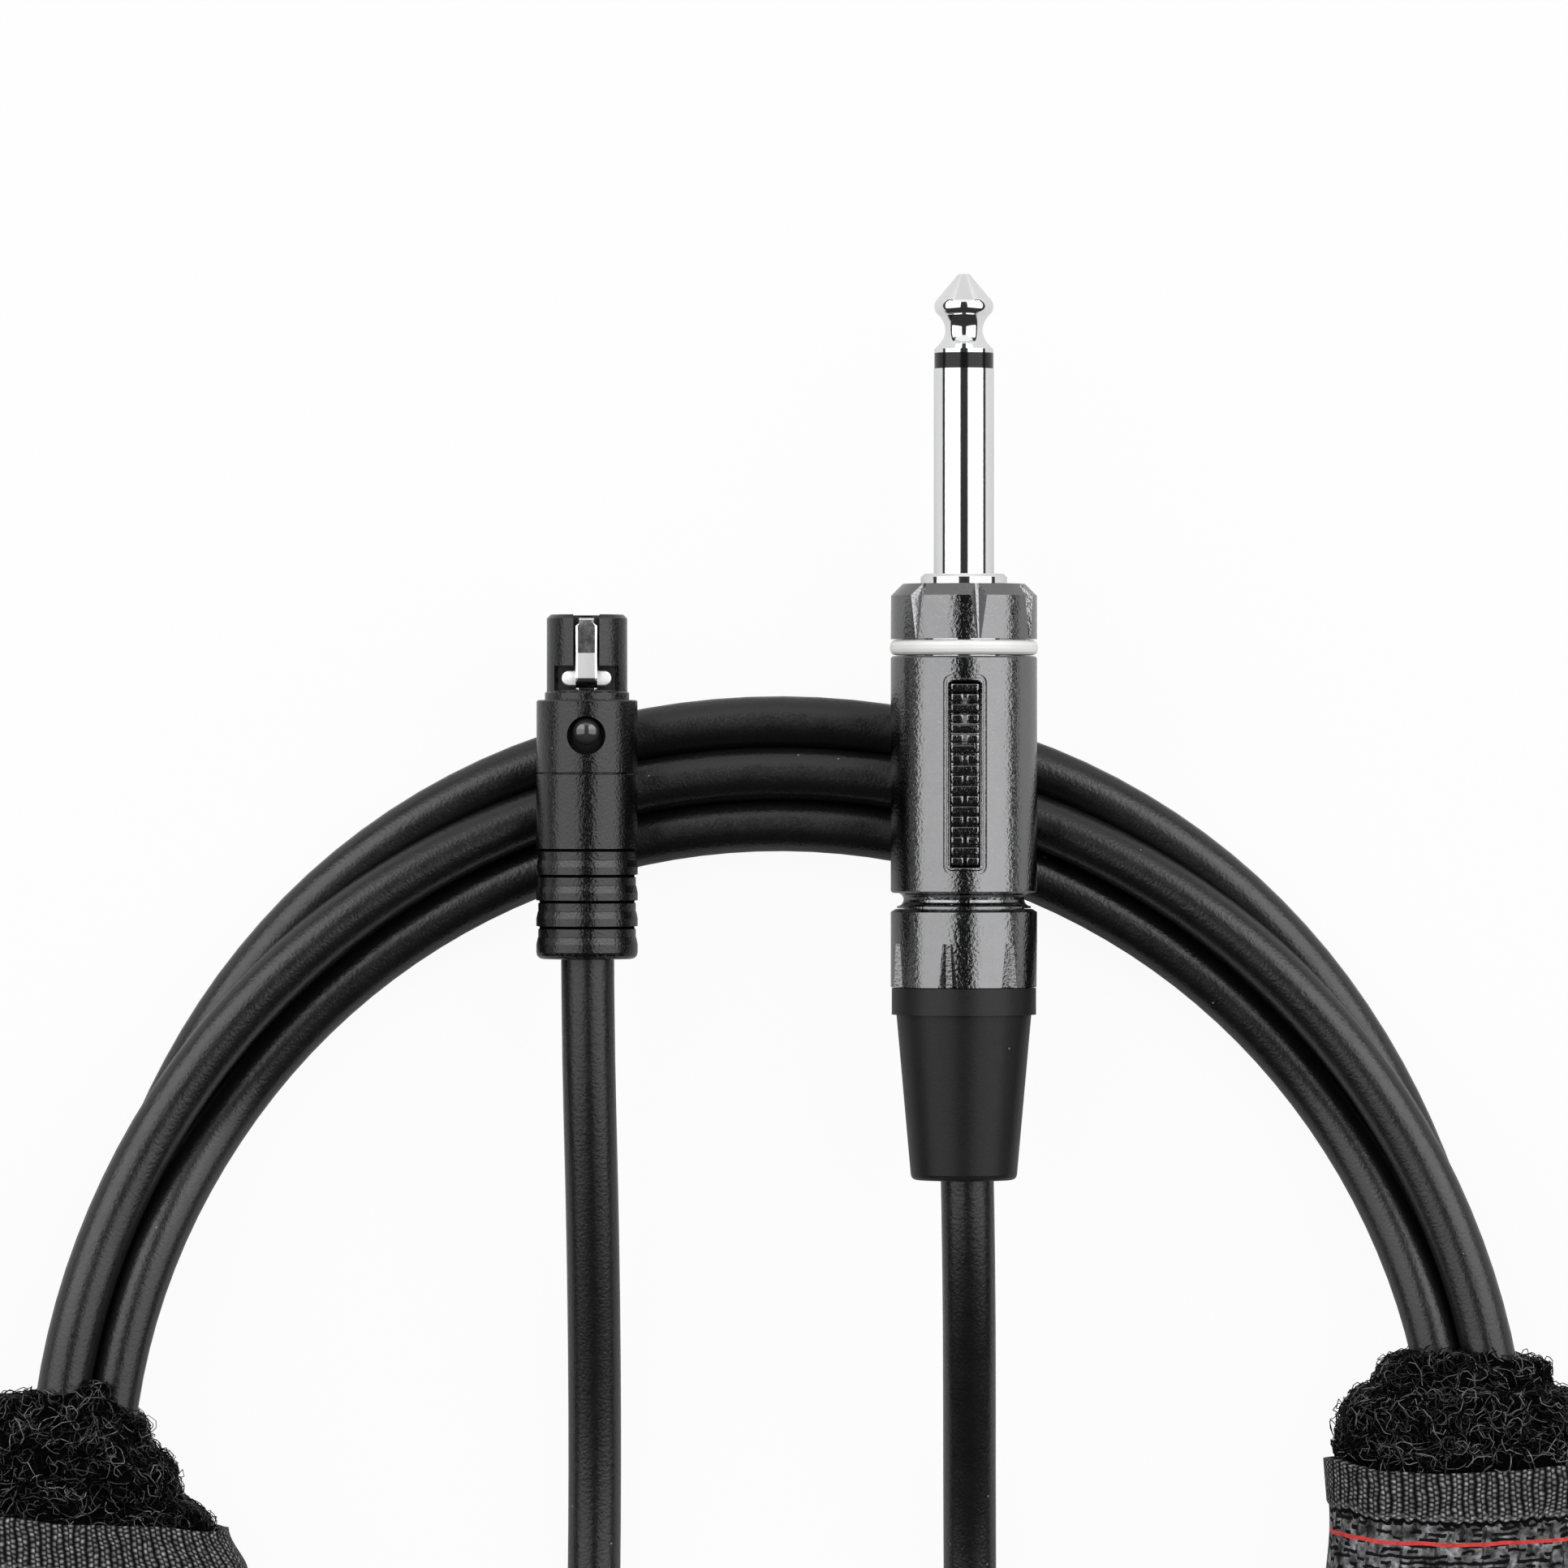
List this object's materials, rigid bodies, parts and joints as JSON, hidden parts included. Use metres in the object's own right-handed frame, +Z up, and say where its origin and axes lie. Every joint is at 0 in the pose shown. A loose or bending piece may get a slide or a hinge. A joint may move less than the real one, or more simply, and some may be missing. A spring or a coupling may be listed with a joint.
{
  "type": "instrument cable",
  "caption": "Instrument cable with a quarter-inch phone plug and a mini-XLR socket, its cord wound in a flat coil and held by hook-and-loop ties.",
  "frame": {"origin": "on the surface the cable lies on, under the middle of the box round its plugs and ties", "axes": "+Z up from the surface, +Y the way both plugs point, +X to the right seen from above"},
  "size_m": [0.1796, 0.2113, 0.023],
  "materials": {
    "nickel": "bright nickel plate",
    "black_chrome": "glossy black chrome over a fine orange-peel casting",
    "white_ring": "smooth moulded plastic",
    "black_ring": "satin insulating plastic",
    "boot_rubber": "matte moulded rubber",
    "satin_black": "satin black, finely pebbled",
    "button_black": "polished black plastic",
    "insert_black": "moulded insulator",
    "latch_steel": "stamped spring steel",
    "gold_contact": "plated contact",
    "tinned_brass": "tinned terminal",
    "inner_plastic": "natural nylon",
    "clamp_plastic": "black nylon",
    "wire_red": "thin coloured insulation",
    "copper": "stranded copper",
    "cord_jacket": "matte flexible jacket",
    "tie_pile": "black looped pile",
    "tie_webbing": "dark grey woven webbing"
  },
  "bodies": {
    "cable": {"ts_tip": "nickel", "ts_tip_insulator": "black_ring", "ts_sleeve": "nickel", "ts_front_ring": "black_chrome", "ts_coding_ring": "white_ring", "ts_barrel": "black_chrome", "ts_rear_nut": "black_chrome", "ts_boot": "boot_rubber", "ts_liner": "inner_plastic", "ts_chuck": "clamp_plastic", "ts_ground_terminal": "tinned_brass", "ts_terminal_washer": "inner_plastic", "ts_tip_terminal": "tinned_brass", "ts_hot_wire": "wire_red", "ts_shield_tail": "copper", "xlr_nose": "satin_black", "xlr_insert": "insert_black", "xlr_contacts": "gold_contact", "xlr_body_shell": "satin_black", "xlr_handle": "satin_black", "xlr_cord_clamp": "clamp_plastic", "xlr_wires": "wire_red", "cord_lead_xlr": "cord_jacket", "cord_lead_ts": "cord_jacket", "cord_coil": "cord_jacket", "left_tie_pile": "tie_pile", "left_tie_webbing": "tie_webbing", "right_tie_pile": "tie_pile", "right_tie_webbing": "tie_webbing"},
    "button": {"xlr_button": "button_black"},
    "latch": {"xlr_latch": "latch_steel"}
  },
  "joints": [
    {"name": "button_press", "type": "slide", "parent": "cable", "child": "button", "axis": [0, 0, -1], "range_m": [0, 0.0006], "stiffness_N_per_m": 1500},
    {"name": "latch_rock", "type": "hinge", "parent": "cable", "child": "latch", "pos_m": [-0.0203, 0.04329, 0.01678], "axis": [1, 0, 0], "range_deg": [0, 2.85]}
  ],
  "couplings": [
    {"joint": "latch_rock", "follows": "button_press", "rad_per_m": 82.305}
  ]
}
